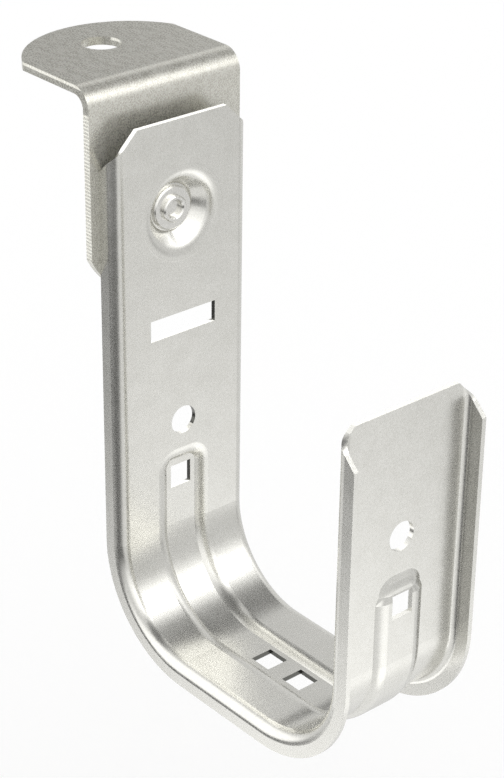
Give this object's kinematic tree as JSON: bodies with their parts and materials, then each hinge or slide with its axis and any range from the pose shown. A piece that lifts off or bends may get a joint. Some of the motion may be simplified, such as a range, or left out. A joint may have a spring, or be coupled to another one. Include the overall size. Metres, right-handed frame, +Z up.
{
  "type": "j hook cable support",
  "caption": "Stamped sheet hook with rolled edges and a pressed bead, riveted below an angle bracket with a ceiling hole, for carrying a bundle of cables.",
  "frame": {"origin": "centre of the bracket's mounting hole, on the plate's top face, which goes against the ceiling", "axes": "+Z up, out of the top face; +X from the mounting hole towards the open lip of the hook; +Y across the strip"},
  "size_m": [0.0849, 0.03, 0.0986],
  "materials": {
    "hook_sheet": "satin zinc-coated sheet, fine grain",
    "bracket_plate": "satin zinc-plated plate, fine grain",
    "rivet_steel": "bright zinc-plated steel"
  },
  "bodies": {
    "root": {"hook": "hook_sheet", "angle_bracket": "bracket_plate", "rivet": "rivet_steel"}
  },
  "joints": []
}
